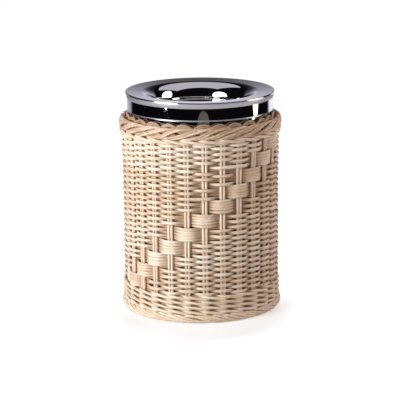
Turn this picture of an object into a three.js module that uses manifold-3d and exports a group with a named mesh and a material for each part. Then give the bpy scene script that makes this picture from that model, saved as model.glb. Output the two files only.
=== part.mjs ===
// A round wastebasket: a woven rattan basket on a plywood base, a chromed bucket that lifts out of it, and a
// chromed lid with a swing flap that lifts off the bucket.
// Millimetres, +Z up, front towards -Y. The origin is the middle of the foot's underside.
import * as THREE from "three";
import { mergeVertices } from "three/addons/utils/BufferGeometryUtils.js";
import Module from "manifold-3d";

const wasm = await Module();
wasm.setup();

// ---- Driving dimensions ----

const GAP = 0.3; // clearance between pieces that touch or slide
const SEGMENTS = 48; // facets round the large turned pieces
const SMALL_SEGMENTS = 16; // and round the small ones
const CURVE_STEPS = 3;

// Basket: radii of the wall and heights of its courses, from the floor up
const WALL_INNER = 90.4;
const WALL_OUTER = 99.6;
const WALE_OUTER = 101.2;
const FOOT_OUTER = 101.8;
const FOOT_INNER = 82;
const FOOT_TOP = 8;
const FOOT_LEDGE = 3.7; // the foot border's height under the base board
const BOARD_RADIUS = 98.6;
const BOARD_BOTTOM = 4;
const BOARD_TOP = 9.5;
const LOWER_WALE_TOP = 36;
const WEAVE_TOP = 224;
const WEAVE_BANDS = ["lower", "middle", "upper"];
const UPPER_WALE_TOP = 231;
const BORDER_OUTER = 102.8;
const BORDER_TOP = 249;

// Stakes: the upright canes, in pairs that stand side by side through the wall
const STAKE_PAIRS = 27;
const FIRST_STAKE_DEG = 2.9; // from the front, towards +X
const STAKE_CIRCLE = 94.6;
const CANE_RADIUS = 1.9;
const CANE_OFFSET = 1.8; // from the middle of the pair to the middle of each cane
const SLOT_WIDTH = 2 * (CANE_OFFSET + CANE_RADIUS + GAP);
const SLOT_DEPTH = 2 * (CANE_RADIUS + GAP);

// Bucket
const SHEET = 0.8; // the sheet steel of the bucket, the lid and the flap
const BUCKET_RADIUS = 88.5;
const BUCKET_FLOOR_RISE = 4; // the recess under the bucket's floor
const BEAD_RADIUS = 1.05;

// Lid
const LID_TOP = 276;
const LIP_RADIUS = 94.4;
const FLANGE_SLOPE = THREE.MathUtils.degToRad(4.5);
const SHOULDER_RADIUS = 17;
const CURVE_RADIUS = 24; // the wider curve between the shoulder and the upright part of the throat
const CURVE_TURN = THREE.MathUtils.degToRad(35); // and how far it turns
const THROAT_RADIUS = 58;
const THROAT_BOTTOM = 242.5;
const SKIRT_RADIUS = 92;
const SKIRT_BOTTOM = 252;
const SKIRT_TOP = 268;
const FLARE_RADIUS = 16;
const FLARE_ANGLE = THREE.MathUtils.degToRad(30);
const HEM = 0.5; // how far the hem at the skirt's lower edge stands out
const HEM_HEIGHT = 1.2;

// Flap and its pivots
const PIVOT_Z = 251;
const PIN_RADIUS = 1.5;
const PIN_INNER = 47;
const PIN_OUTER = 62;
const BUSH_RADIUS = 3.2;
const BUSH_FLANGE_RADIUS = 5;
const BUSH_FLANGE = 1.4;
const BUSH_OUTER = 61;
const FLAP_RADIUS = 56.8;
const FLAP_TOP = 253.2;
const FLAP_RIM_DEPTH = 5;
const BRACKET = { inner: 46, outer: 54, width: 9, bottom: 247.5 };
const WEIGHT_RADIUS = 16;
const WEIGHT_HEIGHT = 9;
const SCREW_RADIUS = 2;
const SCREW_HEAD_RADIUS = 3.8;
const SCREW_HEAD_HEIGHT = 2.4;

// ---- Materials ----

const finish = (color, roughness, metalness) => () =>
  new THREE.MeshStandardMaterial({ color, roughness, metalness });
const rattan = finish(0xdcc4a0, 0.6, 0);
const plywood = finish(0xc8a878, 0.7, 0);
const chrome = finish(0xd8dadd, 0.06, 1);
const zinc = finish(0xa8abb0, 0.35, 1);
const nylon = finish(0xe6e4de, 0.5, 0);

// ---- Solids ----

// A closed geometry as a solid for joining and cutting.
function solidOf(geometry) {
  const bare = geometry.clone();
  bare.deleteAttribute("normal");
  bare.deleteAttribute("uv");
  const merged = mergeVertices(bare, 1e-3);
  return new wasm.Manifold(
    new wasm.Mesh({
      numProp: 3,
      vertProperties: new Float32Array(merged.attributes.position.array),
      triVerts: new Uint32Array(merged.index.array),
    }),
  );
}

function geometryOf(solid) {
  const { vertProperties, triVerts } = solid.getMesh();
  const geometry = new THREE.BufferGeometry();
  geometry.setAttribute("position", new THREE.BufferAttribute(vertProperties, 3));
  geometry.setIndex(new THREE.BufferAttribute(triVerts, 1));
  geometry.computeVertexNormals();
  return geometry;
}

function cut(geometry, tools) {
  const solids = tools.map(solidOf);
  return geometryOf(solids.reduce((left, tool) => left.subtract(tool), solidOf(geometry)));
}

function join(pieces) {
  return geometryOf(pieces.map(solidOf).reduce((whole, piece) => whole.add(piece)));
}

// A profile of [radius, height] points, or a path, turned round the Z axis. The outer side runs upwards.
function turned(profile, segments = SEGMENTS) {
  const points = Array.isArray(profile)
    ? profile.map(([radius, height]) => new THREE.Vector2(radius, height))
    : profile.getPoints(CURVE_STEPS);
  return new THREE.LatheGeometry(points, segments).rotateX(Math.PI / 2);
}

// A ring of rectangular section.
function ring(inner, outer, bottom, top) {
  return turned([
    [inner, bottom],
    [outer, bottom],
    [outer, top],
    [inner, top],
    [inner, bottom],
  ]);
}

// A round bar along X between two places, at the pivot's height.
function pivotBar(radius, from, to) {
  return new THREE.CylinderGeometry(radius, radius, Math.abs(to - from), SMALL_SEGMENTS)
    .rotateZ(Math.PI / 2)
    .translate((from + to) / 2, 0, PIVOT_Z);
}

// ---- Basket ----

const stakeAngle = (pair) =>
  THREE.MathUtils.degToRad(FIRST_STAKE_DEG + (pair * 360) / STAKE_PAIRS);
const eachPair = (make) => Array.from({ length: STAKE_PAIRS }, (_, pair) => make(pair));

// Two round canes side by side that grow into one outline where they press together.
function canePairShape() {
  const waist = Math.acos(CANE_OFFSET / CANE_RADIUS);
  const shape = new THREE.Shape();
  shape.absarc(CANE_OFFSET, 0, CANE_RADIUS, waist - Math.PI, Math.PI - waist, false);
  shape.absarc(-CANE_OFFSET, 0, CANE_RADIUS, waist, 2 * Math.PI - waist, false);
  return shape;
}

function stakePair(pair) {
  const bottom = BOARD_BOTTOM + GAP;
  const top = UPPER_WALE_TOP;
  const upright = new THREE.ExtrudeGeometry(canePairShape(), {
    depth: top - bottom,
    bevelEnabled: false,
    curveSegments: CURVE_STEPS,
  });
  return upright.translate(0, -STAKE_CIRCLE, bottom).rotateZ(stakeAngle(pair));
}

// A course of the wall with a slot for every pair of stakes.
function slotted(geometry, bottom, top) {
  const slots = eachPair((pair) =>
    new THREE.BoxGeometry(SLOT_WIDTH, SLOT_DEPTH, top - bottom + 2)
      .translate(0, -STAKE_CIRCLE, (bottom + top) / 2)
      .rotateZ(stakeAngle(pair)),
  );
  return cut(geometry, slots);
}

function baseBoard() {
  const disc = new THREE.CylinderGeometry(
    BOARD_RADIUS,
    BOARD_RADIUS,
    BOARD_TOP - BOARD_BOTTOM,
    SEGMENTS,
  );
  disc.rotateX(Math.PI / 2).translate(0, 0, (BOARD_BOTTOM + BOARD_TOP) / 2);
  return slotted(disc, BOARD_BOTTOM, BOARD_TOP);
}

// The foot border lies under the board's edge and wraps up round it.
function footBorder() {
  return turned([
    [FOOT_INNER, 0],
    [FOOT_OUTER - 1.5, 0],
    [FOOT_OUTER, 2],
    [FOOT_OUTER, FOOT_TOP],
    [BOARD_RADIUS + GAP, FOOT_TOP],
    [BOARD_RADIUS + GAP, FOOT_LEDGE],
    [FOOT_INNER, FOOT_LEDGE],
    [FOOT_INNER, 0],
  ]);
}

function lowerWale() {
  const bottom = BOARD_TOP + GAP;
  return slotted(ring(WALL_INNER, WALE_OUTER, bottom, LOWER_WALE_TOP), bottom, LOWER_WALE_TOP);
}

function weaveBand(index) {
  const height = (WEAVE_TOP - LOWER_WALE_TOP) / WEAVE_BANDS.length;
  const bottom = LOWER_WALE_TOP + index * height + GAP;
  const top = bottom + height - GAP;
  return slotted(ring(WALL_INNER, WALL_OUTER, bottom, top), bottom, top);
}

function upperWale() {
  const bottom = WEAVE_TOP + GAP;
  return slotted(ring(WALL_INNER, WALE_OUTER, bottom, UPPER_WALE_TOP), bottom, UPPER_WALE_TOP);
}

// The border is two plaited rolls: a thick one outside and a thin one that rises behind it.
function borderOuterRoll() {
  const bottom = UPPER_WALE_TOP + GAP;
  return turned([
    [94.8, bottom],
    [101.4, bottom],
    [BORDER_OUTER, bottom + 4],
    [BORDER_OUTER, bottom + 10],
    [100.6, BORDER_TOP - 3.6],
    [94.8, BORDER_TOP - 3.6],
    [94.8, bottom],
  ]);
}

function borderInnerRoll() {
  const bottom = UPPER_WALE_TOP + GAP;
  return turned([
    [WALL_INNER, bottom],
    [94.5, bottom],
    [94.5, BORDER_TOP - 1.5],
    [93.6, BORDER_TOP],
    [91.4, BORDER_TOP],
    [WALL_INNER, BORDER_TOP - 1.5],
    [WALL_INNER, bottom],
  ]);
}

// ---- Bucket ----

const flangeUnderside = (radius) =>
  LID_TOP - SHEET / Math.cos(FLANGE_SLOPE) - (LIP_RADIUS - radius) * Math.tan(FLANGE_SLOPE);
const bucketInner = BUCKET_RADIUS - SHEET;
const bucketBottom = BOARD_TOP + GAP;
const beadCircle = BUCKET_RADIUS + GAP + BEAD_RADIUS;
const beadZ = flangeUnderside(beadCircle - BEAD_RADIUS) - GAP - BEAD_RADIUS;

function bucketWall() {
  return ring(bucketInner, BUCKET_RADIUS, bucketBottom, beadZ + BEAD_RADIUS);
}

// A pressed disc whose edge turns down inside the wall.
function bucketFloor() {
  const rim = bucketInner - GAP;
  const top = bucketBottom + BUCKET_FLOOR_RISE;
  return turned([
    [0, top - SHEET],
    [rim - SHEET, top - SHEET],
    [rim - SHEET, bucketBottom],
    [rim, bucketBottom],
    [rim, top],
    [0, top],
  ]);
}

// The wire that stiffens the bucket's mouth.
function bucketBead() {
  const section = new THREE.Path().absarc(beadCircle, beadZ, BEAD_RADIUS, 0, 2 * Math.PI, false);
  return turned(section);
}

// ---- Lid ----

const curveCircle = THROAT_RADIUS + CURVE_RADIUS;
const shoulderCircle = curveCircle - (CURVE_RADIUS - SHOULDER_RADIUS) * Math.cos(CURVE_TURN);
const shoulderZ =
  LID_TOP -
  SHOULDER_RADIUS * Math.cos(FLANGE_SLOPE) -
  (LIP_RADIUS - shoulderCircle + SHOULDER_RADIUS * Math.sin(FLANGE_SLOPE)) *
    Math.tan(FLANGE_SLOPE);
const curveZ = shoulderZ - (CURVE_RADIUS - SHOULDER_RADIUS) * Math.sin(CURVE_TURN);

// The pan's face from the foot of the throat to the top of the shoulder, or a surface that far behind it.
function panFace(depth) {
  const bend = Math.PI - CURVE_TURN;
  const rounded = (circle, height, radius, from, to) =>
    new THREE.EllipseCurve(circle, height, radius - depth, radius - depth, from, to, true)
      .getPoints(CURVE_STEPS)
      .map((point) => [point.x, point.y]);
  return [
    [THROAT_RADIUS + depth, THROAT_BOTTOM],
    ...rounded(curveCircle, curveZ, CURVE_RADIUS, Math.PI, bend),
    ...rounded(shoulderCircle, shoulderZ, SHOULDER_RADIUS, bend, Math.PI / 2 + FLANGE_SLOPE).slice(1),
  ];
}

// Dished flange, rounded shoulder and throat in one sheet.
function lidPan() {
  const back = panFace(SHEET);
  const profile = [
    ...back,
    [LIP_RADIUS, flangeUnderside(LIP_RADIUS)],
    [LIP_RADIUS, LID_TOP],
    ...panFace(0).reverse(),
    back[0],
  ];
  const bushHole = pivotBar(BUSH_RADIUS + GAP, -SKIRT_RADIUS, SKIRT_RADIUS);
  return cut(turned(profile), [bushHole]);
}

// The skirt slides over the bucket's mouth, and flares out to the lip.
function lidSkirt() {
  const top = flangeUnderside(LIP_RADIUS) - GAP;
  const centreRadius = SKIRT_RADIUS - FLARE_RADIUS * Math.cos(FLARE_ANGLE);
  const centreZ = SKIRT_TOP + FLARE_RADIUS * Math.sin(FLARE_ANGLE);
  const topAngle = Math.asin((top - centreZ) / FLARE_RADIUS);
  const flare = new THREE.EllipseCurve(
    centreRadius,
    centreZ,
    FLARE_RADIUS,
    FLARE_RADIUS,
    -FLARE_ANGLE,
    topAngle,
  ).getPoints(CURVE_STEPS);
  const outer = [
    [SKIRT_RADIUS, SKIRT_BOTTOM],
    [SKIRT_RADIUS + HEM, SKIRT_BOTTOM + HEM_HEIGHT / 2],
    [SKIRT_RADIUS, SKIRT_BOTTOM + HEM_HEIGHT],
    ...flare.map((point) => [point.x, point.y]),
  ];
  const inner = flare.map((point) => [point.x - SHEET, point.y]).reverse();
  return turned([
    ...outer,
    ...inner,
    [SKIRT_RADIUS - SHEET, SKIRT_BOTTOM],
    [SKIRT_RADIUS, SKIRT_BOTTOM],
  ]);
}

// A flanged bush in the throat wall. Side is -1 for the left and 1 for the right.
function pivotBush(side) {
  const inner = FLAP_RADIUS + 2 * GAP;
  const flangeStart = THROAT_RADIUS + SHEET + GAP;
  const body = join([
    pivotBar(BUSH_RADIUS, side * inner, side * BUSH_OUTER),
    pivotBar(BUSH_FLANGE_RADIUS, side * flangeStart, side * (flangeStart + BUSH_FLANGE)),
  ]);
  return cut(body, [pivotBar(PIN_RADIUS + GAP, side * (inner - 2), side * (BUSH_OUTER + 2))]);
}

// ---- Flap ----

function flapDisc() {
  const underside = FLAP_TOP - SHEET;
  const rimBottom = FLAP_TOP - FLAP_RIM_DEPTH;
  const disc = turned([
    [0, underside],
    [FLAP_RADIUS - SHEET, underside],
    [FLAP_RADIUS - SHEET, rimBottom],
    [FLAP_RADIUS, rimBottom],
    [FLAP_RADIUS, underside],
    [FLAP_RADIUS - SHEET, FLAP_TOP],
    [0, FLAP_TOP],
  ]);
  const pinHole = pivotBar(PIN_RADIUS + GAP, PIN_INNER, PIN_OUTER);
  return cut(disc, [pinHole, pinHole.clone().rotateZ(Math.PI)]);
}

// A block under the flap's edge that holds the pin.
function flapBracket(side) {
  const top = FLAP_TOP - SHEET - GAP;
  const block = new THREE.BoxGeometry(
    BRACKET.outer - BRACKET.inner,
    BRACKET.width,
    top - BRACKET.bottom,
  ).translate((side * (BRACKET.outer + BRACKET.inner)) / 2, 0, (top + BRACKET.bottom) / 2);
  const bore = pivotBar(
    PIN_RADIUS + GAP,
    side * (PIN_INNER - GAP),
    side * (BRACKET.outer + 1),
  );
  return cut(block, [bore]);
}

const pivotPin = (side) => pivotBar(PIN_RADIUS, side * PIN_INNER, side * PIN_OUTER);

const weightTop = FLAP_TOP - SHEET - GAP;
const weightBottom = weightTop - WEIGHT_HEIGHT;

// The weight that brings the flap back to level, with a hole for its screw.
function flapWeight() {
  const profile = [
    [SCREW_RADIUS + GAP, weightBottom],
    [WEIGHT_RADIUS - 1, weightBottom],
    [WEIGHT_RADIUS, weightBottom + 1],
    [WEIGHT_RADIUS, weightTop],
    [SCREW_RADIUS + GAP, weightTop],
    [SCREW_RADIUS + GAP, weightBottom],
  ];
  return turned(profile, 2 * SMALL_SEGMENTS);
}

function weightScrew() {
  const headTop = weightBottom - GAP;
  const profile = [
    [0, headTop - SCREW_HEAD_HEIGHT],
    [SCREW_HEAD_RADIUS - 0.8, headTop - SCREW_HEAD_HEIGHT],
    [SCREW_HEAD_RADIUS, headTop - SCREW_HEAD_HEIGHT + 0.8],
    [SCREW_HEAD_RADIUS, headTop],
    [SCREW_RADIUS, headTop],
    [SCREW_RADIUS, weightTop],
    [0, weightTop],
  ];
  return turned(profile, SMALL_SEGMENTS);
}

// ---- Assembly ----

function part(name, geometry, material) {
  const mesh = new THREE.Mesh(geometry, material());
  mesh.name = name;
  return mesh;
}

const twoDigits = (number) => String(number).padStart(2, "0");

const basket = new THREE.Group();
basket.add(part("base_board", baseBoard(), plywood));
basket.add(part("foot_border", footBorder(), rattan));
basket.add(part("lower_wale", lowerWale(), rattan));
WEAVE_BANDS.forEach((place, index) => {
  basket.add(part("side_weave_" + place, weaveBand(index), rattan));
});
basket.add(part("upper_wale", upperWale(), rattan));
basket.add(part("border_outer_roll", borderOuterRoll(), rattan));
basket.add(part("border_inner_roll", borderInnerRoll(), rattan));
eachPair((pair) => {
  basket.add(part("stake_pair_" + twoDigits(pair + 1), stakePair(pair), rattan));
});

const bucket = new THREE.Group();
bucket.add(part("bucket_wall", bucketWall(), chrome));
bucket.add(part("bucket_floor", bucketFloor(), chrome));
bucket.add(part("bucket_rim_bead", bucketBead(), chrome));

const lid = new THREE.Group();
lid.add(part("lid_pan", lidPan(), chrome));
lid.add(part("lid_skirt", lidSkirt(), chrome));
lid.add(part("pivot_bush_left", pivotBush(-1), nylon));
lid.add(part("pivot_bush_right", pivotBush(1), nylon));

const flap = new THREE.Group();
flap.add(part("flap_disc", flapDisc(), chrome));
flap.add(part("flap_bracket_left", flapBracket(-1), zinc));
flap.add(part("flap_bracket_right", flapBracket(1), zinc));
flap.add(part("pivot_pin_left", pivotPin(-1), zinc));
flap.add(part("pivot_pin_right", pivotPin(1), zinc));
flap.add(part("flap_weight", flapWeight(), zinc));
flap.add(part("weight_screw", weightScrew(), zinc));

const wastebasket = new THREE.Group();
wastebasket.add(basket, bucket, lid, flap);

export default wastebasket;
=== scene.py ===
import math

import bmesh
import bpy
import numpy as np
from mathutils import Matrix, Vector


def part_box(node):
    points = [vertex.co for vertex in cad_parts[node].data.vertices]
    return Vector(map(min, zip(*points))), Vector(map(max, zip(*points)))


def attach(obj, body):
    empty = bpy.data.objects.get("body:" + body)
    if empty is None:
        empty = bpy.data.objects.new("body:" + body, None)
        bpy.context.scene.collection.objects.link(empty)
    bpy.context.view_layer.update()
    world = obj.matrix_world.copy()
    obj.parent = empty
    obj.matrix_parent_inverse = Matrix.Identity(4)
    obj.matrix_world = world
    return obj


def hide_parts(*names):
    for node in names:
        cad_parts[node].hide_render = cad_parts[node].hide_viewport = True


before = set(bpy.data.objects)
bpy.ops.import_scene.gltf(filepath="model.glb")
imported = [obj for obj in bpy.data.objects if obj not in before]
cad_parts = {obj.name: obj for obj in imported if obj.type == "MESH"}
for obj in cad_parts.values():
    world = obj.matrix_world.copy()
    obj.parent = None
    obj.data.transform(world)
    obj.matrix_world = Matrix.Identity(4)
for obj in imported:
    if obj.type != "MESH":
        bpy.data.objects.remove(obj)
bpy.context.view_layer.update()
random = np.random.default_rng(28)

MM = 0.001


# ---- Places taken from the frame ----

def low(node):
    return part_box(node)[0].z


def high(node):
    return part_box(node)[1].z


def outer(node):
    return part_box(node)[1].x


STAKE_NODES = sorted(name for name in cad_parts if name.startswith("stake_pair_"))
STAKE_PAIRS = len(STAKE_NODES)
BAND_NODES = ["side_weave_lower", "side_weave_middle", "side_weave_upper"]


def pair_place(node):
    """The angle of a pair of stakes and its distance from the axis."""
    lowest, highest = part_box(node)
    middle = (lowest + highest) / 2
    return math.atan2(middle.x, -middle.y), math.hypot(middle.x, middle.y)


FIRST_STAKE, STAKE_CIRCLE = pair_place(STAKE_NODES[0])
STAKE_STEP = 2 * math.pi / STAKE_PAIRS

# ---- Driving values of the weave ----

CANE = 1.72 * MM  # half the thickness of an upright cane
CANE_OFFSET = 1.96 * MM  # from the middle of a pair to each of its canes
WEFT_DEEP = 1.62 * MM  # half a weaver's thickness through the wall
WEFT_TALL = 1.9 * MM  # and up the wall
WEFT_SWELL = 0.2 * MM  # a weaver spreads where it crosses a pair on its own
ROWS = 55  # turns of the weaver
ROW_BASE = 34.5 * MM  # where they begin, above the lower wale
ROW_TOP = 225 * MM  # and end, below the upper one
ROW_PITCH = (ROW_TOP - ROW_BASE) / ROWS
ROWS_PER_BLOCK = 5
DIAGONAL_STARTS = (-5, 9)  # pairs under the lowest block of each diagonal, counted from the first pair
# Two pairs on each diagonal, counted from its start, with the few rows that cross them above their blocks.
SPARSE_ROWS = {5: (35, 38, 42, 44, 48, 50, 52, 54), 6: (40, 43, 46, 49, 51, 53)}
SPARSE_FROM = {lane: rows[0] for lane, rows in SPARSE_ROWS.items()}
OVER = STAKE_CIRCLE + CANE + WEFT_DEEP
UNDER = STAKE_CIRCLE - CANE - WEFT_DEEP
CROSSING = 0.13  # share of the way to the next pair that a weaver stays level
SAMPLES = 10  # points on a weaver between two pairs
SWAY = 0.13 * MM  # size of each of the waves in which the rows wander up and down
TOP_FLARE = 2.2 * MM  # how much further out the wall stands under the border than lower down
FLARE_START = 170 * MM  # the height at which it begins to widen
FLARE_HEIGHT = 55 * MM  # and the height over which it does
WAVES_UP = 18  # a stake's ripples, in radians for each metre of its height
WALE_BULGE = 0.5 * MM  # how far the wales' rods stand out from the pairs
CANE_SIDES = 10  # corners round a cane's section
ROD_SIDES = 12  # and in the wales and plaits


def flare(height):
    """How far the wall stands out at a height."""
    share = np.clip((np.asarray(height) - FLARE_START) / FLARE_HEIGHT, 0, 1)
    return TOP_FLARE * share * share * (1.6 - 0.6 * share)


def around(angle, radius, height):
    """Points at these angles, radii and heights."""
    angle, radius, height = np.broadcast_arrays(angle, radius, height)
    return np.stack([radius * np.sin(angle), -radius * np.cos(angle), height], axis=1)


def ripple(angle, size, waves):
    """A smooth irregular wave along an angle. Round the whole basket it closes on itself."""
    total = np.zeros_like(angle)
    for wave in range(1, waves + 1):
        total += random.normal() * np.sin(wave * angle + random.uniform(0, 2 * math.pi))
    return size * total / math.sqrt(waves)


# ---- Meshes ----

def unit(vectors):
    return vectors / np.linalg.norm(vectors, axis=1, keepdims=True)


class Canes:
    """Gathers canes, each a tube along a path, into one mesh. It keeps each point's place along and round
    its cane, and the cane's tone, as attributes for the material."""

    def __init__(self, name):
        self.name = name
        self.points = []
        self.faces = []
        self.places = []
        self.tones = []
        self.count = 0

    def add(self, path, deep, tall, tone, closed=False, sides=CANE_SIDES, outward=None):
        """Adds a cane. Deep is half its thickness outward, which is away from the axis unless it is given,
        and tall is half its thickness across that."""
        number = len(path)
        if closed:
            forward = unit(np.roll(path, -1, axis=0) - np.roll(path, 1, axis=0))
        else:
            forward = unit(np.gradient(path, axis=0))
        if outward is None:
            outward = unit(path * [1, 1, 0])
        else:
            outward = np.broadcast_to(outward, path.shape)
        across = unit(np.cross(forward, outward))
        outward = np.cross(across, forward)
        turn = 2 * math.pi * (np.arange(sides) + 0.5) / sides
        deep = np.broadcast_to(deep, number)[:, None, None] * np.cos(turn)[None, :, None]
        tall = np.broadcast_to(tall, number)[:, None, None] * np.sin(turn)[None, :, None]
        points = path[:, None] + deep * outward[:, None] + tall * across[:, None]
        steps = np.linalg.norm(np.diff(path, axis=0), axis=1)
        along = np.concatenate([[0], np.cumsum(steps)]) + random.uniform(0, 5)
        places = np.empty((number, sides, 3))
        places[..., 0] = along[:, None]
        places[..., 1] = np.cos(turn)
        places[..., 2] = np.sin(turn)
        self.points.append(points.reshape(-1, 3))
        self.places.append(places.reshape(-1, 3))
        self.tones.append(np.repeat(np.broadcast_to(tone, number), sides))
        ring = np.arange(number if closed else number - 1)
        after = (ring + 1) % number
        side = np.arange(sides)
        beside = (side + 1) % sides
        quads = np.stack(
            [
                ring[:, None] * sides + side,
                ring[:, None] * sides + beside,
                after[:, None] * sides + beside,
                after[:, None] * sides + side,
            ],
            axis=-1,
        )
        self.faces += (quads.reshape(-1, 4) + self.count).tolist()
        if not closed:
            self.faces.append((side[::-1] + self.count).tolist())
            self.faces.append((side + self.count + (number - 1) * sides).tolist())
        self.count += number * sides

    def build(self):
        mesh = bpy.data.meshes.new(self.name)
        mesh.from_pydata(np.concatenate(self.points).tolist(), [], self.faces)
        places = mesh.attributes.new("strand", "FLOAT_VECTOR", "POINT")
        places.data.foreach_set("vector", np.concatenate(self.places).astype(np.float32).ravel())
        tones = mesh.attributes.new("tone", "FLOAT", "POINT")
        tones.data.foreach_set("value", np.concatenate(self.tones).astype(np.float32))
        mesh.shade_smooth()
        return add_object(self.name, mesh)


def add_object(name, data):
    made = bpy.data.objects.new(name, data)
    bpy.context.scene.collection.objects.link(made)
    return made


def arc(centre, radius, start, end, steps=12):
    """Points of an arc in a profile. Angles are in degrees from the outward direction upwards."""
    turn = np.radians(np.linspace(start, end, steps + 1))
    return [(centre[0] + radius * math.cos(a), centre[1] + radius * math.sin(a)) for a in turn]


def rounded_end(place, heading, half):
    """The rounded end of a sheet. An end on the axis needs none."""
    if place[0] <= half:
        return []
    facing = math.degrees(math.atan2(heading[1], heading[0]))
    return arc(place, half, facing + 75, facing - 75, 10)


def sheet_profile(line, thickness):
    """The closed outline of sheet metal whose middle follows a line of [radius, height] points."""
    line = np.array(line, float)
    half = thickness / 2
    forward = unit(np.gradient(line, axis=0))
    left = np.stack([-forward[:, 1], forward[:, 0]], axis=1)
    outline = list(line + half * left) + rounded_end(line[-1], forward[-1], half)
    return outline + list((line - half * left)[::-1]) + rounded_end(line[0], -forward[0], half)


def turned(name, outline, segments=224, sharp=22):
    """A closed outline of [radius, height] points turned round the basket's axis."""
    outline = np.array(outline, float)
    outline[:, 0] = np.maximum(outline[:, 0], 0)
    number = len(outline)
    angle = np.repeat(np.arange(segments) * 2 * math.pi / segments, number)
    points = around(angle, np.tile(outline[:, 0], segments), np.tile(outline[:, 1], segments))
    turn = np.arange(segments)[:, None] * number
    after = (np.arange(segments)[:, None] + 1) % segments * number
    place = np.arange(number)
    beside = (place + 1) % number
    quads = np.stack([turn + place, after + place, after + beside, turn + beside], axis=-1)
    mesh = bpy.data.meshes.new(name)
    mesh.from_pydata(points.tolist(), [], quads.reshape(-1, 4).tolist())
    work = bmesh.new()
    work.from_mesh(mesh)
    bmesh.ops.remove_doubles(work, verts=work.verts, dist=1e-7)
    bmesh.ops.recalc_face_normals(work, faces=work.faces)
    work.to_mesh(mesh)
    work.free()
    mesh.shade_smooth()
    mesh.set_sharp_from_angle(angle=math.radians(sharp))
    return add_object(name, mesh)


def join(piece, addition):
    """Adds another object's mesh to a piece."""
    work = bmesh.new()
    work.from_mesh(piece.data)
    work.from_mesh(addition.data)
    work.to_mesh(piece.data)
    work.free()
    bpy.data.objects.remove(addition)


def fine_copy(node, width):
    """A CAD node's shape with its edges eased."""
    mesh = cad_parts[node].data.copy()
    mesh.materials.clear()
    work = bmesh.new()
    work.from_mesh(mesh)
    bmesh.ops.remove_doubles(work, verts=work.verts, dist=1e-6)
    flat = math.radians(1)
    bmesh.ops.dissolve_limit(work, angle_limit=flat, verts=work.verts, edges=work.edges)
    work.to_mesh(mesh)
    work.free()
    mesh.shade_smooth()
    piece = add_object(node + "_eased", mesh)
    bevel = piece.modifiers.new("eased", "BEVEL")
    bevel.width = width
    bevel.segments = 3
    bevel.limit_method = "ANGLE"
    bevel.angle_limit = math.radians(40)
    bevel.harden_normals = True
    return piece


def fit(piece, body, slot, material, *nodes):
    """Puts a piece on its body, in place of its CAD nodes, with its finish."""
    piece.data.materials.append(material)
    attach(piece, body)
    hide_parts(*nodes)


# ---- Materials ----

class Nodes:
    """A node tree, with short ways to add nodes. A node's inputs are values or sockets to link."""

    def __init__(self, tree):
        self.nodes = tree.nodes
        self.links = tree.links

    def feed(self, socket, value):
        if isinstance(value, bpy.types.NodeSocket):
            self.links.new(value, socket)
        else:
            socket.default_value = value

    def node(self, kind, inputs=(), **settings):
        made = self.nodes.new(kind)
        for name, value in settings.items():
            setattr(made, name, value)
        for name, value in dict(inputs).items():
            self.feed(made.inputs[name], value)
        return made

    def math(self, operation, first, second):
        return self.node("ShaderNodeMath", {0: first, 1: second}, operation=operation).outputs[0]

    def spread(self, value, start, end, to_low, to_high):
        inputs = {0: value, 1: start, 2: end, 3: to_low, 4: to_high}
        return self.node("ShaderNodeMapRange", inputs).outputs[0]

    def ramp(self, value, stops):
        made = self.node("ShaderNodeValToRGB", {0: value})
        elements = made.color_ramp.elements
        while len(elements) < len(stops):
            elements.new(0.5)
        for element, (position, colour) in zip(elements, stops):
            element.position = position
            element.color = (*colour, 1)
        return made.outputs[0]

    def seen_directly(self):
        """1 for what the camera sees directly, 0 for reflections and for light."""
        return self.node("ShaderNodeLightPath").outputs["Is Camera Ray"]


class Shader(Nodes):
    """A material's node tree."""

    def __init__(self, name):
        self.material = bpy.data.materials.new(name)
        self.material.use_nodes = True
        super().__init__(self.material.node_tree)
        self.surface = self.nodes["Principled BSDF"]

    def attribute(self, name, output):
        return self.node("ShaderNodeAttribute", attribute_name=name).outputs[output]

    def place(self):
        return self.node("ShaderNodeTexCoord").outputs["Object"]

    def stretched(self, vector, scale, offset=None):
        """A vector multiplied by a scale for each axis, with an offset added."""
        made = self.node("ShaderNodeVectorMath", {0: vector, 1: scale}, operation="MULTIPLY").outputs[0]
        if offset is None:
            return made
        return self.node("ShaderNodeVectorMath", {0: made, 1: offset}, operation="ADD").outputs[0]

    def noise(self, vector, scale, detail=3, rough=0.55):
        inputs = {"Vector": vector, "Scale": scale, "Detail": detail, "Roughness": rough}
        return self.node("ShaderNodeTexNoise", inputs).outputs[0]

    def mix(self, share, first, second):
        """A share of the second colour over the first. Each is a socket or three values."""
        made = self.node("ShaderNodeMix", {0: share}, data_type="RGBA")
        for index, colour in ((6, first), (7, second)):
            if not isinstance(colour, bpy.types.NodeSocket):
                colour = (*colour, 1)
            self.feed(made.inputs[index], colour)
        return made.outputs[2]

    def bump(self, height, strength, distance, under=None):
        inputs = {"Height": height, "Strength": strength, "Distance": distance}
        if under is not None:
            inputs["Normal"] = under
        return self.node("ShaderNodeBump", inputs).outputs[0]

    def set(self, **values):
        for name, value in values.items():
            self.feed(self.surface.inputs[name.replace("_", " ")], value)


DEEPEST_SHADE_RADIUS = 93.5 * MM  # inside it the canes get the most painted shade and dust
UNSHADED_RADIUS = 98.5 * MM  # and outside it they get neither
POLISHED_FROM = 238 * MM  # the height above which the bucket's wall is bright
UNPOLISHED = (0.17, 0.15, 0.135)


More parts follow.
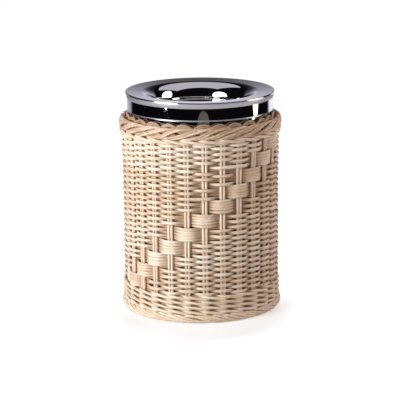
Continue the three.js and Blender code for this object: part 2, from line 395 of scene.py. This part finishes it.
def rattan(name, pale, honey, shade, shade_and_dust):
    """Peeled cane: fibres along each strand, blotches, and a tone of its own for each strand. Painted
    shade, with some dust, darkens the parts deeper in the wall, where they lie in shade."""
    shader = Shader(name)
    strand = shader.attribute("strand", "Vector")
    tone = shader.attribute("tone", "Fac")
    apart = shader.node("ShaderNodeCombineXYZ", {0: shader.math("MULTIPLY", tone, 31.0)}).outputs[0]
    fibres = shader.noise(shader.stretched(strand, (55, 4.5, 4.5), apart), 1.0, 4, 0.65)
    fine = shader.noise(shader.stretched(strand, (140, 11, 11), apart), 1.0, 2, 0.5)
    blotches = shader.noise(shader.stretched(strand, (14, 0.7, 0.7), apart), 1.0, 3, 0.6)
    lengths = shader.noise(shader.stretched(strand, (3.2, 0.1, 0.1), apart), 1.0, 1, 0.5)
    share = shader.math("MULTIPLY", tone, 0.5)
    for pattern, weight in ((fibres, 0.42), (blotches, 0.5), (lengths, 0.35)):
        share = shader.math("ADD", share, shader.math("MULTIPLY", pattern, weight))
    colour = shader.ramp(
        shader.spread(share, 0.45, 1.25, 0.0, 1.0),
        [(0.0, shade), (0.38, honey), (0.75, pale), (1.0, tuple(min(1, 1.06 * c) for c in pale))],
    )
    streaks = shader.spread(fine, 0.62, 0.74, 0.0, 0.35)
    colour = shader.mix(streaks, colour, shade)
    outward = shader.stretched(shader.place(), (1, 1, 0))
    distance = shader.node("ShaderNodeVectorMath", {0: outward}, operation="LENGTH").outputs["Value"]
    # painted shade with some dust: the colour darkens and browns towards the inside of the wall, where the
    # canes lie in shade
    shade_and_dust_share = shader.spread(distance, DEEPEST_SHADE_RADIUS, UNSHADED_RADIUS, shade_and_dust, 0.0)
    colour = shader.mix(shade_and_dust_share, colour, tuple(c * d for c, d in zip(honey, (0.62, 0.46, 0.34))))
    bump = shader.bump(fibres, 0.35, 0.35 * MM, shader.bump(fine, 0.2, 0.15 * MM))
    shader.set(
        Base_Color=colour,
        Roughness=shader.spread(fibres, 0.3, 0.7, 0.36, 0.6),
        Specular_IOR_Level=0.5,
        Coat_Weight=0.25,
        Coat_Roughness=0.26,
        Normal=bump,
    )
    return shader.material


def chromed(name, dull_below=0.0):
    """Bright chrome with faint waviness, wiping marks and slightly duller clouds. Below a height it can be
    left unpolished and dark."""
    shader = Shader(name)
    place = shader.place()
    cloud = shader.noise(place, 26.0, 4, 0.6)
    wipes = shader.noise(shader.stretched(place, (300, 40, 90)), 1.0, 3, 0.6)
    duller = shader.spread(cloud, 0.4, 0.75, 0.012, 0.026)
    rough = shader.math("ADD", duller, shader.spread(wipes, 0.5, 0.8, 0.0, 0.012))
    plated = shader.ramp(cloud, [(0.3, (0.60, 0.60, 0.615)), (0.7, (0.66, 0.66, 0.67))])
    if dull_below:
        height = shader.node("ShaderNodeSeparateXYZ", {0: place}).outputs[2]
        dull = shader.spread(height, dull_below - 8 * MM, dull_below, 1.0, 0.0)
        rough = shader.math("ADD", rough, shader.math("MULTIPLY", dull, 0.4))
        plated = shader.mix(dull, plated, UNPOLISHED)
    shader.set(
        Base_Color=plated,
        Metallic=1.0,
        Roughness=rough,
        Normal=shader.bump(shader.noise(place, 9.0, 1, 0.4), 0.01, 1.0 * MM),
    )
    return shader.material


def zinc_plated(name):
    shader = Shader(name)
    place = shader.place()
    grain = shader.noise(place, 900.0, 3, 0.6)
    cloud = shader.noise(place, 120.0, 3, 0.6)
    shader.set(
        Base_Color=shader.ramp(cloud, [(0.3, (0.42, 0.43, 0.44)), (0.7, (0.56, 0.57, 0.59))]),
        Metallic=1.0,
        Roughness=shader.spread(grain, 0.3, 0.7, 0.28, 0.46),
        Normal=shader.bump(grain, 0.15, 0.1 * MM),
    )
    return shader.material


def moulded_nylon(name):
    shader = Shader(name)
    place = shader.place()
    pits = shader.noise(place, 1500.0, 2, 0.5)
    cloud = shader.noise(place, 150.0, 2, 0.5)
    shader.set(
        Base_Color=shader.ramp(cloud, [(0.3, (0.70, 0.69, 0.64)), (0.7, (0.78, 0.77, 0.73))]),
        Roughness=shader.spread(pits, 0.3, 0.7, 0.4, 0.55),
        Normal=shader.bump(pits, 0.1, 0.08 * MM),
    )
    return shader.material


def plywood_sheet(name):
    """Rotary-cut face veneer: long figure along X, fine pores and darker latewood."""
    shader = Shader(name)
    place = shader.place()
    drift = shader.noise(shader.stretched(place, (6, 22, 10)), 1.0, 3, 0.6)
    figure = shader.noise(shader.stretched(place, (9, 130, 260)), 1.0, 5, 0.6)
    pores = shader.noise(shader.stretched(place, (120, 2200, 2200)), 1.0, 2, 0.5)
    share = shader.math("ADD", shader.math("MULTIPLY", figure, 0.7), shader.math("MULTIPLY", drift, 0.4))
    stops = [(0.35, (0.36, 0.22, 0.11)), (0.55, (0.56, 0.38, 0.20)), (0.75, (0.68, 0.50, 0.29))]
    colour = shader.ramp(share, stops)
    shader.set(
        Base_Color=shader.mix(shader.spread(pores, 0.6, 0.75, 0.0, 0.5), colour, (0.25, 0.15, 0.08)),
        Roughness=shader.spread(figure, 0.3, 0.7, 0.55, 0.75),
        Normal=shader.bump(pores, 0.3, 0.15 * MM),
    )
    return shader.material


# the last value is how far painted shade and dust darken the canes deep in the wall
WICKER = rattan("rattan_wicker", (0.87, 0.73, 0.59), (0.74, 0.54, 0.38), (0.40, 0.23, 0.13), 0.75)
STAKE_WICKER = rattan("rattan_stakes", (0.89, 0.75, 0.60), (0.78, 0.59, 0.42), (0.46, 0.28, 0.16), 0.3)
CHROME = chromed("chrome_plate")
BUCKET_CHROME = chromed("chrome_plate_bucket", POLISHED_FROM)
ZINC = zinc_plated("zinc_plate")
NYLON = moulded_nylon("moulded_nylon")
PLYWOOD = plywood_sheet("plywood_sheet")


# ---- Basket ----

def crosses_over(row, pair):
    """Whether a row passes outside a pair of stakes. Pairs are counted from the first, towards +X. Plain
    weave alternates. Each block lies over one pair, and the pairs beside it stay bare for its height."""
    block = row // ROWS_PER_BLOCK
    for start in DIAGONAL_STARTS:
        lane = (pair - start) % STAKE_PAIRS
        aside = (lane - block) % STAKE_PAIRS
        if aside == 0:
            return True
        if aside in (1, STAKE_PAIRS - 1):
            return False
        if lane in SPARSE_ROWS and row >= SPARSE_FROM[lane]:
            return row in SPARSE_ROWS[lane]
    return (row + pair) % 2 == 0


def eased(share):
    """0 to 1 with level ends, where the weaver lies flat against a pair."""
    share = np.clip((share - CROSSING) / (1 - 2 * CROSSING), 0, 1)
    return share * share * (3 - 2 * share)


def weaver():
    """The one long weaver of the side: a helix from the lower wale to the upper one that passes in and out
    of the pairs. It starts at the back. Returns its points, and each point's half height, tone and row."""
    half = STAKE_PAIRS // 2
    crossings = [(row, pair) for row in range(ROWS) for pair in range(-half, half + 1)]
    over = np.array([crosses_over(row, pair) for row, pair in crossings])
    above = np.roll(over, -STAKE_PAIRS)
    below = np.roll(over, STAKE_PAIRS)
    reach = np.where(over, OVER, UNDER) + random.normal(0, 0.14 * MM, len(over))
    swell = np.where(over & ~above & ~below, WEFT_SWELL, 0)
    position = np.arange(SAMPLES * (len(over) - 1) + 1) / SAMPLES
    before = np.minimum(position.astype(int), len(over) - 2)
    share = eased(position - before)
    radius = reach[before] * (1 - share) + reach[before + 1] * share
    swell = swell[before] * (1 - share) + swell[before + 1] * share
    angle = FIRST_STAKE + (position - half) * STAKE_STEP
    turns = position / STAKE_PAIRS
    height = ROW_BASE + ROW_PITCH * turns + 0.5 * ROW_PITCH / STAKE_PAIRS
    for wave, (size, start, drift, _) in enumerate(random.normal(0, 1, (9, 4)), 1):
        height += SWAY * size * np.sin(wave * angle + start + drift * turns)
    splices = np.sort(random.uniform(0, ROWS, 18))
    tones = random.uniform(0.3, 0.8, len(splices) + 1)
    tone = tones[np.searchsorted(splices, turns)] + 0.08 * np.sin(5.3 * turns)
    return around(angle, radius + flare(height), height), WEFT_TALL + swell, tone, turns


def side_weave():
    """The rows between the wales, cut into the CAD model's three bands."""
    path, tall, tone, turns = weaver()
    limits = [0]
    for node in BAND_NODES[1:]:
        limits.append(round((low(node) - ROW_BASE) / ROW_PITCH))
    limits.append(ROWS)
    for node, first, last in zip(BAND_NODES, limits, limits[1:]):
        part = (turns >= first) & (turns <= last)
        canes = Canes(node.replace("side_weave", "weaver"))
        canes.add(path[part], WEFT_DEEP, tall[part], tone[part])
        fit(canes.build(), "basket", "rattan", WICKER, node)


def stakes():
    """The upright canes, in three groups of pairs."""
    bottom = low(STAKE_NODES[0])
    top = high(STAKE_NODES[0])
    height = np.linspace(bottom, top, 64)
    group_size = STAKE_PAIRS // 3
    for start in range(0, STAKE_PAIRS, group_size):
        canes = Canes(f"stakes_{start // group_size + 1}")
        group = STAKE_NODES[start:start + group_size]
        for node in group:
            angle, distance = pair_place(node)
            for side in (-1, 1):
                wander = ripple(height * WAVES_UP, 0.12 * MM, 4)
                turn = angle + (side * CANE_OFFSET + wander) / distance
                radius = distance + flare(height) + ripple(height * WAVES_UP, 0.08 * MM, 3)
                path = around(turn, radius, height)
                canes.add(path, CANE, CANE * random.uniform(0.95, 1.02), random.uniform(0.5, 0.95))
        fit(canes.build(), "basket", "rattan", STAKE_WICKER, *group)


def wale_row(canes, height, deep, tall):
    """One course of three-rod wale: each rod passes outside two pairs and inside one. Deep and tall are a
    rod's half thicknesses through the wall and up it."""
    rods = 3
    samples = 12
    position = np.arange(STAKE_PAIRS * samples) / samples
    angle = FIRST_STAKE + position * STAKE_STEP
    start = random.integers(rods)
    wander = ripple(angle, 0.2 * MM, 5)
    for rod in range(rods):
        phase = 2 * math.pi * (position + rod + start) / rods
        inside = np.clip(0.45 + 0.8 * np.cos(phase), 0, 1)
        inside = inside * inside * (3 - 2 * inside)
        out = STAKE_CIRCLE + CANE + deep + WALE_BULGE + 0.25 * MM * np.cos(2 * phase)
        radius = out + (STAKE_CIRCLE - CANE - deep - out) * inside + ripple(angle, 0.1 * MM, 8)
        radius += flare(height)
        rise = 0.98 * tall * np.sin(phase)
        tone = random.uniform(0.35, 0.75) + ripple(angle, 0.06, 5)
        path = around(angle, radius, height + rise + wander)
        canes.add(path, deep, tall, tone, closed=True, sides=ROD_SIDES)


def lower_wale():
    canes = Canes("lower_wale_rods")
    bottom = low("lower_wale") - 0.6 * MM
    courses = 4
    pitch = (ROW_BASE - bottom) / courses
    for course in range(courses):
        height = bottom + (course + 0.5) * pitch
        wale_row(canes, height, 1.7 * MM, pitch / 4 + 0.15 * MM)
    fit(canes.build(), "basket", "rattan", WICKER, "lower_wale")


def upper_wale():
    canes = Canes("upper_wale_rods")
    height = (ROW_TOP + high("upper_wale")) / 2 + 0.2 * MM
    wale_row(canes, height, 1.75 * MM, 1.9 * MM)
    fit(canes.build(), "basket", "rattan", WICKER, "upper_wale")


def rope(canes, bundles, radius, height, reach, rise, lay, half, offsets, tones, ground):
    """A plaited ring: bundles of canes wound round each other, so that each pair of stakes shows one
    strand. A bundle that doesn't meet its own start goes on round the ring until it does. Reach and rise
    are the winding's half width and half height, and lay is 1 where strands climb towards +X. Half is half
    a cane's thickness, offsets place the canes in a bundle, and no cane goes below the ground."""
    rings = math.gcd(STAKE_PAIRS, bundles)
    circuits = bundles // rings
    samples = 12
    position = np.arange(STAKE_PAIRS * circuits * samples) / samples
    angle = FIRST_STAKE + position * STAKE_STEP
    lap = angle / circuits
    for ring in range(rings):
        winding = lay * 2 * math.pi * (position + ring) / bundles + ripple(lap, 0.2, 11 * circuits)
        outward = reach * np.cos(winding)
        upward = rise * np.sin(winding)
        along = unit(np.stack([-reach * np.sin(winding), rise * np.cos(winding)], axis=1))
        for offset in offsets:
            aside = offset * (1 + ripple(lap, 0.16, 9 * circuits))
            level = height + upward + aside * along[:, 1] + ripple(lap, 0.25 * MM, 9 * circuits)
            level = np.maximum(level, ground + 1.04 * half)
            path = around(angle, radius + outward + aside * along[:, 0], level)
            tone = random.uniform(*tones) + ripple(lap, 0.13, 13 * circuits)
            thickness = half * (1 + ripple(lap, 0.03, 9 * circuits))
            canes.add(path, thickness, thickness, tone, closed=True, sides=ROD_SIDES)


def border_outer():
    lowest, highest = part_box("border_outer_roll")
    half = 1.7 * MM
    middle = (lowest.z + highest.z) / 2 - 0.5 * MM
    inner = STAKE_CIRCLE + 0.2 * MM
    radius = (inner + highest.x) / 2
    reach = (highest.x - inner) / 2 - half
    rise = (highest.z - lowest.z) / 2 - half + 0.2 * MM
    canes = Canes("border_plait")
    offsets = (-1.25 * MM, 1.25 * MM)
    tones = (-0.1, 0.1)
    rope(canes, 4, radius, middle, reach, rise, 1, half, offsets, tones, low("upper_wale"))
    fit(canes.build(), "basket", "rattan", WICKER, "border_outer_roll")


def border_inner():
    """Pairs of thin canes that arch behind the plait, each over nearly two pairs of stakes."""
    lowest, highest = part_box("border_inner_roll")
    half = 1.15 * MM
    crest = highest.z - half
    foot = lowest.z + 2 * MM
    share = np.linspace(0, 1, 26)
    arch = np.sin(math.pi * share) ** 0.75
    start = highest.x - 0.3 * MM - half
    end = start - 1.9 * MM
    reach = 1.75  # pairs of stakes that an arch spans
    canes = Canes("border_arches")
    for pair in range(STAKE_PAIRS):
        lean = random.normal(0, 0.05)
        for cane in range(2):
            drop = cane * 1.9 * half
            top = crest - drop + random.normal(0, 0.25 * MM)
            angle = FIRST_STAKE + (pair + lean + reach * share) * STAKE_STEP
            height = foot + (top - foot) * arch
            radius = start + (end - start) * share
            tone = random.uniform(0.2, 0.6)
            canes.add(around(angle, radius, height), half, half, tone)
    fit(canes.build(), "basket", "rattan", WICKER, "border_inner_roll")


def foot_border():
    """A plait round the board's edge whose ends are turned in under the board."""
    lowest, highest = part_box("foot_border")
    half = 1.6 * MM
    middle = (lowest.z + highest.z) / 2 + 0.6 * MM
    outer_radius = highest.x
    reach = 1.9 * MM
    rise = middle - lowest.z - half
    canes = Canes("foot_plait")
    offsets = (-1.5 * MM, 1.5 * MM)
    tones = (0.4, 0.8)
    rope(canes, 3, outer_radius - reach - half, middle, reach, rise, -1, half, offsets, tones, lowest.z)
    share = np.linspace(0, 1, 14)
    start_radius = outer_radius - 5 * MM
    end_radius = 83.5 * MM
    for pair in range(STAKE_PAIRS):
        for cane in (0, 1):
            turn = pair + 0.5 * cane + 2.3 * share
            radius = start_radius + (end_radius - start_radius) * share
            height = lowest.z + 1.25 * MM + 1.1 * MM * np.sin(math.pi * share) * (cane + 0.2)
            path = around(FIRST_STAKE + turn * STAKE_STEP, radius, height)
            canes.add(path, 1.2 * MM, 1.5 * MM, random.uniform(0.3, 0.7), outward=(0, 0, 1))
    fit(canes.build(), "basket", "rattan", WICKER, "foot_border")


def base_board():
    fit(fine_copy("base_board", 0.5 * MM), "basket", "plywood", PLYWOOD, "base_board")


# ---- Bucket ----

SHEET = 0.8 * MM  # the thickness of the bucket's, the lid's and the flap's steel


def bucket_wall():
    radius = outer("bucket_wall") - SHEET / 2
    bottom = low("bucket_wall") + SHEET / 2
    top = high("bucket_wall") - SHEET / 2
    line = [(radius, height) for height in np.linspace(bottom, top, 24)]
    wall = turned("bucket_shell", sheet_profile(line, SHEET))
    fit(wall, "bucket", "chrome", BUCKET_CHROME, "bucket_wall")


def bucket_floor():
    """A disc with its edge turned down and a pressed groove that stiffens it."""
    rim = outer("bucket_floor") - SHEET / 2
    top = high("bucket_floor") - SHEET / 2
    corner = 2.2 * MM
    groove = 62 * MM
    line = [(rim, low("bucket_wall") + SHEET / 2)]
    line += arc((rim - corner, top - corner), corner, 0, 90)
    for radius in np.linspace(rim - corner, 0, 60)[1:]:
        dip = 0.9 * MM * math.exp(-(((radius - groove) / (2.5 * MM)) ** 2))
        line.append((radius, top - dip))
    floor = turned("bucket_pressed_floor", sheet_profile(line, SHEET))
    fit(floor, "bucket", "chrome", CHROME, "bucket_floor")


def bucket_rim_bead():
    lowest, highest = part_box("bucket_rim_bead")
    half = (highest.z - lowest.z) / 2
    bead = turned("bucket_wired_edge", arc((highest.x - half, lowest.z + half), half, 0, 345, 23))
    fit(bead, "bucket", "chrome", CHROME, "bucket_rim_bead")


# ---- Lid and flap ----

FLANGE_SLOPE = 4.5  # degrees that the flange falls towards the throat
SHOULDER = 17 * MM
THROAT_CURVE = 24 * MM  # the wider curve between the shoulder and the upright part of the throat
THROAT_TURN = 35  # degrees that it turns
THROAT_CLEARANCE = 1.2 * MM
LIP_CURL = 0.9 * MM
COLLAR_CLEARANCE = 3.5 * MM  # from the bucket's wall to the outside of the collar
COLLAR_FLARE_RADIUS = 16 * MM
COLLAR_FLARE_ANGLE = 30
COLLAR_TOP = 268 * MM  # where the flare begins
HEM = 0.42 * MM  # radius of the rolled lower edge
LID_SEGMENTS = 288  # round the lid, which shows the smoothest reflections


def lid_pan():
    """Dished flange, rounded shoulder and throat, drawn from one sheet. The lip curls down."""
    top = high("lid_pan")
    lip = outer("lid_pan")
    throat = outer("flap_disc") + THROAT_CLEARANCE + SHEET / 2
    slope = math.radians(FLANGE_SLOPE)
    fall = math.tan(slope)
    turn = math.radians(THROAT_TURN)
    extra = THROAT_CURVE - SHOULDER
    curve_radius = throat - SHEET / 2 + THROAT_CURVE
    centre_radius = curve_radius - extra * math.cos(turn)
    flange_run = lip - centre_radius + SHOULDER * math.sin(slope)
    centre_height = top - SHOULDER * math.cos(slope) - flange_run * fall
    curve_height = centre_height - extra * math.sin(turn)
    upright = np.linspace(low("lid_pan") + SHEET / 2, curve_height, 12)[:-1]
    line = [(throat, height) for height in upright]
    line += arc((curve_radius, curve_height), THROAT_CURVE - SHEET / 2, 180, 180 - THROAT_TURN, 24)
    bend = SHOULDER - SHEET / 2
    line += arc((centre_radius, centre_height), bend, 180 - THROAT_TURN, 90 + FLANGE_SLOPE, 30)[1:]
    curl_height = top - SHEET / 2 - LIP_CURL - (LIP_CURL + SHEET) * fall
    curl = arc((lip - SHEET / 2 - LIP_CURL, curl_height), LIP_CURL, 90 + FLANGE_SLOPE, 0, 8)
    start = np.array(line[-1])
    end = np.array(curl[0])
    line += [tuple(start * (1 - share) + end * share) for share in np.linspace(0, 1, 12)[1:-1]]
    line += curl
    pan = turned("lid_dished_pan", sheet_profile(line, SHEET), LID_SEGMENTS)
    fit(pan, "lid", "chrome", CHROME, "lid_pan")


def lid_skirt():
    """A plain collar with a hem at its lower edge, flaring out to the lip."""
    bottom = low("lid_skirt")
    top = high("lid_skirt") - 0.9 * MM
    radius = outer("bucket_wall") + COLLAR_CLEARANCE - SHEET / 2
    angle = math.radians(COLLAR_FLARE_ANGLE)
    centre_radius = radius - COLLAR_FLARE_RADIUS * math.cos(angle)
    centre_height = COLLAR_TOP + COLLAR_FLARE_RADIUS * math.sin(angle)
    last = math.degrees(math.asin((top - centre_height) / COLLAR_FLARE_RADIUS))
    line = [(radius, bottom + HEM + step * MM) for step in (0, 2, 6, 10)]
    line += arc((centre_radius, centre_height), COLLAR_FLARE_RADIUS, -COLLAR_FLARE_ANGLE, last, 16)
    skirt = turned("lid_flared_skirt", sheet_profile(line, SHEET), LID_SEGMENTS, sharp=12)
    hem_centre = (radius + SHEET / 2 - 0.1 * MM, bottom + HEM)
    join(skirt, turned("hem", arc(hem_centre, HEM, 0, 340, 17), LID_SEGMENTS))
    fit(skirt, "lid", "chrome", CHROME, "lid_skirt")


def flap_disc():
    """A flat disc with a turned-down rim."""
    rim = outer("flap_disc") - SHEET / 2
    top = high("flap_disc") - SHEET / 2
    corner = 1.6 * MM
    line = [(rim, low("flap_disc") + SHEET / 2)]
    line += arc((rim - corner, top - corner), corner, 0, 90)
    line += [(radius, top) for radius in np.linspace(rim - corner, 0, 24)[1:]]
    disc = turned("flap_disc_pressed", sheet_profile(line, SHEET))
    fit(disc, "flap", "chrome", CHROME, "flap_disc")


def fittings():
    """The lid's bushes and the flap's brackets, pins, weight and screw, all with eased edges."""
    for side in ("left", "right"):
        bush = fine_copy(f"pivot_bush_{side}", 0.25 * MM)
        fit(bush, "lid", "nylon", NYLON, f"pivot_bush_{side}")
        for node in (f"flap_bracket_{side}", f"pivot_pin_{side}"):
            fit(fine_copy(node, 0.25 * MM), "flap", "zinc", ZINC, node)
    for node in ("flap_weight", "weight_screw"):
        fit(fine_copy(node, 0.4 * MM), "flap", "zinc", ZINC, node)


# ---- Stage ----

CAMERA_PLACE = (-1.1 * MM, -2.1383, 0.6513)
CAMERA_PITCH = 0.2378  # radians below the horizon
CAMERA_ROLL = -0.0091
CAMERA_LENS = 154.9  # millimetres
TABLE_RADIUS = 1.2
TABLE_DROP = 0.3 * MM  # the table's top lies this far under the object, so that they don't share a face
SHADOW_PATCH_CENTRE = (0, -0.07, 0)  # the table is dimmest for the camera here, a painted shadow under the object
MIRROR_GLOW = 0.04  # what the table gives off in reflections
# Brightness of the wall behind the table, against the sine of the elevation at which it is seen.
WALL_GLOW = (
    (0.0, 0.85),
    (0.1, 0.6),
    (0.19, 0.38),
    (0.24, 0.27),
    (0.3, 0.14),
    (0.35, 0.07),
    (0.45, 0.02),
    (0.6, 0.0),
)
WALL_TINT = (0.97, 0.95, 1.12)
ROOM_DARK = (0.004, 0.004, 0.005)


def camera():
    data = bpy.data.cameras.new("camera")
    data.lens = CAMERA_LENS
    data.sensor_width = 36
    made = add_object("camera", data)
    aim = Matrix.Rotation(math.pi / 2 - CAMERA_PITCH, 4, "X") @ Matrix.Rotation(CAMERA_ROLL, 4, "Z")
    made.matrix_world = Matrix.Translation(CAMERA_PLACE) @ aim
    bpy.context.scene.camera = made


def area_light(name, shape, width, length, area, brightness, tint):
    """An area light that only light and reflections see. Its brightness is what a mirror shows."""
    data = bpy.data.lights.new(name, "AREA")
    data.shape = shape
    data.size = width
    data.size_y = length
    data.energy = brightness * math.pi * area
    data.color = tint
    made = add_object(name, data)
    made.visible_camera = False
    return made


def softbox(name, bearing, distance, bottom, top, width, brightness, tint):
    """An upright oval softbox that faces the axis. Its bearing is in degrees from the front towards +X."""
    height = top - bottom
    area = math.pi / 4 * width * height
    made = area_light(name, "ELLIPSE", width, height, area, brightness, tint)
    turn = math.radians(bearing)
    made.location = (distance * math.sin(turn), -distance * math.cos(turn), (bottom + top) / 2)
    made.rotation_euler = (math.pi / 2, 0, turn)
    return made


def overhead(name, aside, width, near, far, height, brightness, tint):
    """A panel that lies flat above the object, moved aside towards +X."""
    made = area_light(name, "RECTANGLE", width, far - near, width * (far - near), brightness, tint)
    made.location = (aside, (near + far) / 2, height)


def floor():
    """A round table top of white acrylic, lit from below as well as from above. The glow the camera sees
    is dimmed near the object as a painted shadow, and in reflections it hardly glows."""
    mesh = bpy.data.meshes.new("table_top")
    work = bmesh.new()
    bmesh.ops.create_circle(work, cap_ends=True, radius=TABLE_RADIUS, segments=96)
    work.to_mesh(mesh)
    work.free()
    table = add_object("table_top", mesh)
    table.location.z = -TABLE_DROP
    shader = Shader("white_acrylic")
    inputs = {0: shader.place(), 1: SHADOW_PATCH_CENTRE}
    away = shader.node("ShaderNodeVectorMath", inputs, operation="DISTANCE").outputs["Value"]
    # painted shadow: the glow the camera sees is lowest near the object, in place of its shadow on the
    # table
    extra = shader.math("SUBTRACT", shader.spread(away, 0.09, 0.2, 0.4, 1.2), MIRROR_GLOW)
    glow = shader.math("ADD", shader.math("MULTIPLY", extra, shader.seen_directly()), MIRROR_GLOW)
    shader.set(
        Base_Color=(0.7, 0.7, 0.71, 1),
        Roughness=0.16,
        Specular_IOR_Level=0.08,
        Emission_Color=(0.97, 0.99, 1, 1),
        Emission_Strength=glow,
    )
    table.data.materials.append(shader.material)


def backdrop():
    """White behind the object. In reflections the room is dark, apart from a white wall low behind the
    table that is brighter towards +X."""
    world = bpy.data.worlds.new("studio")
    bpy.context.scene.world = world
    world.use_nodes = True
    tree = Nodes(world.node_tree)
    tree.nodes.clear()
    direction = tree.node("ShaderNodeTexCoord").outputs["Generated"]
    aside, back, up = tree.node("ShaderNodeSeparateXYZ", {0: direction}).outputs
    inputs = {0: back, 1: 0.66, 2: 0.8}
    behind = tree.node("ShaderNodeMapRange", inputs, interpolation_type="SMOOTHSTEP").outputs[0]
    stops = [(sine, tuple(glow * tint for tint in WALL_TINT)) for sine, glow in WALL_GLOW]
    height = tree.ramp(up, stops)
    slant = tree.spread(aside, -0.6, 0.6, 0.55, 1.45)
    strength = tree.math("MULTIPLY", behind, slant)
    wall = tree.node("ShaderNodeVectorMath", {0: height, 3: strength}, operation="SCALE").outputs[0]
    wall = tree.node("ShaderNodeVectorMath", {0: wall, 1: ROOM_DARK}, operation="ADD").outputs[0]
    room = tree.node("ShaderNodeBackground", {"Color": wall}).outputs[0]
    white = tree.node("ShaderNodeBackground", {"Color": (1, 1, 1, 1), "Strength": 1.02}).outputs[0]
    mixed = tree.node("ShaderNodeMixShader", {0: tree.seen_directly(), 1: room, 2: white}).outputs[0]
    tree.node("ShaderNodeOutputWorld", {0: mixed})


def lights():
    softbox("key_front_left", -53, 1.35, 0.0295, 1.15, 0.98, 9.2, (0.92, 0.97, 1))
    softbox("softbox_right", 94, 1.2, 0.02, 1.22, 0.73, 3.6, (1, 0.89, 0.82))
    fill = softbox("fill_front", -12, 1.6, 0.3, 1.3, 1.0, 2.15, (1, 0.95, 0.88))
    fill.visible_glossy = False
    softbox("card_front", 5, 1.3, -0.03, 0.038, 0.42, 0.15, (1, 0.86, 0.82))
    overhead("overhead", 0.2, 1.9, -0.5, 1.05, 1.35, 0.7, (0.99, 0.94, 1.03))


def studio():
    camera()
    backdrop()
    floor()
    lights()
    bpy.context.scene.view_settings.view_transform = "Standard"


studio()
side_weave()
stakes()
lower_wale()
upper_wale()
border_outer()
border_inner()
foot_border()
base_board()
bucket_wall()
bucket_floor()
bucket_rim_bead()
lid_pan()
lid_skirt()
flap_disc()
fittings()
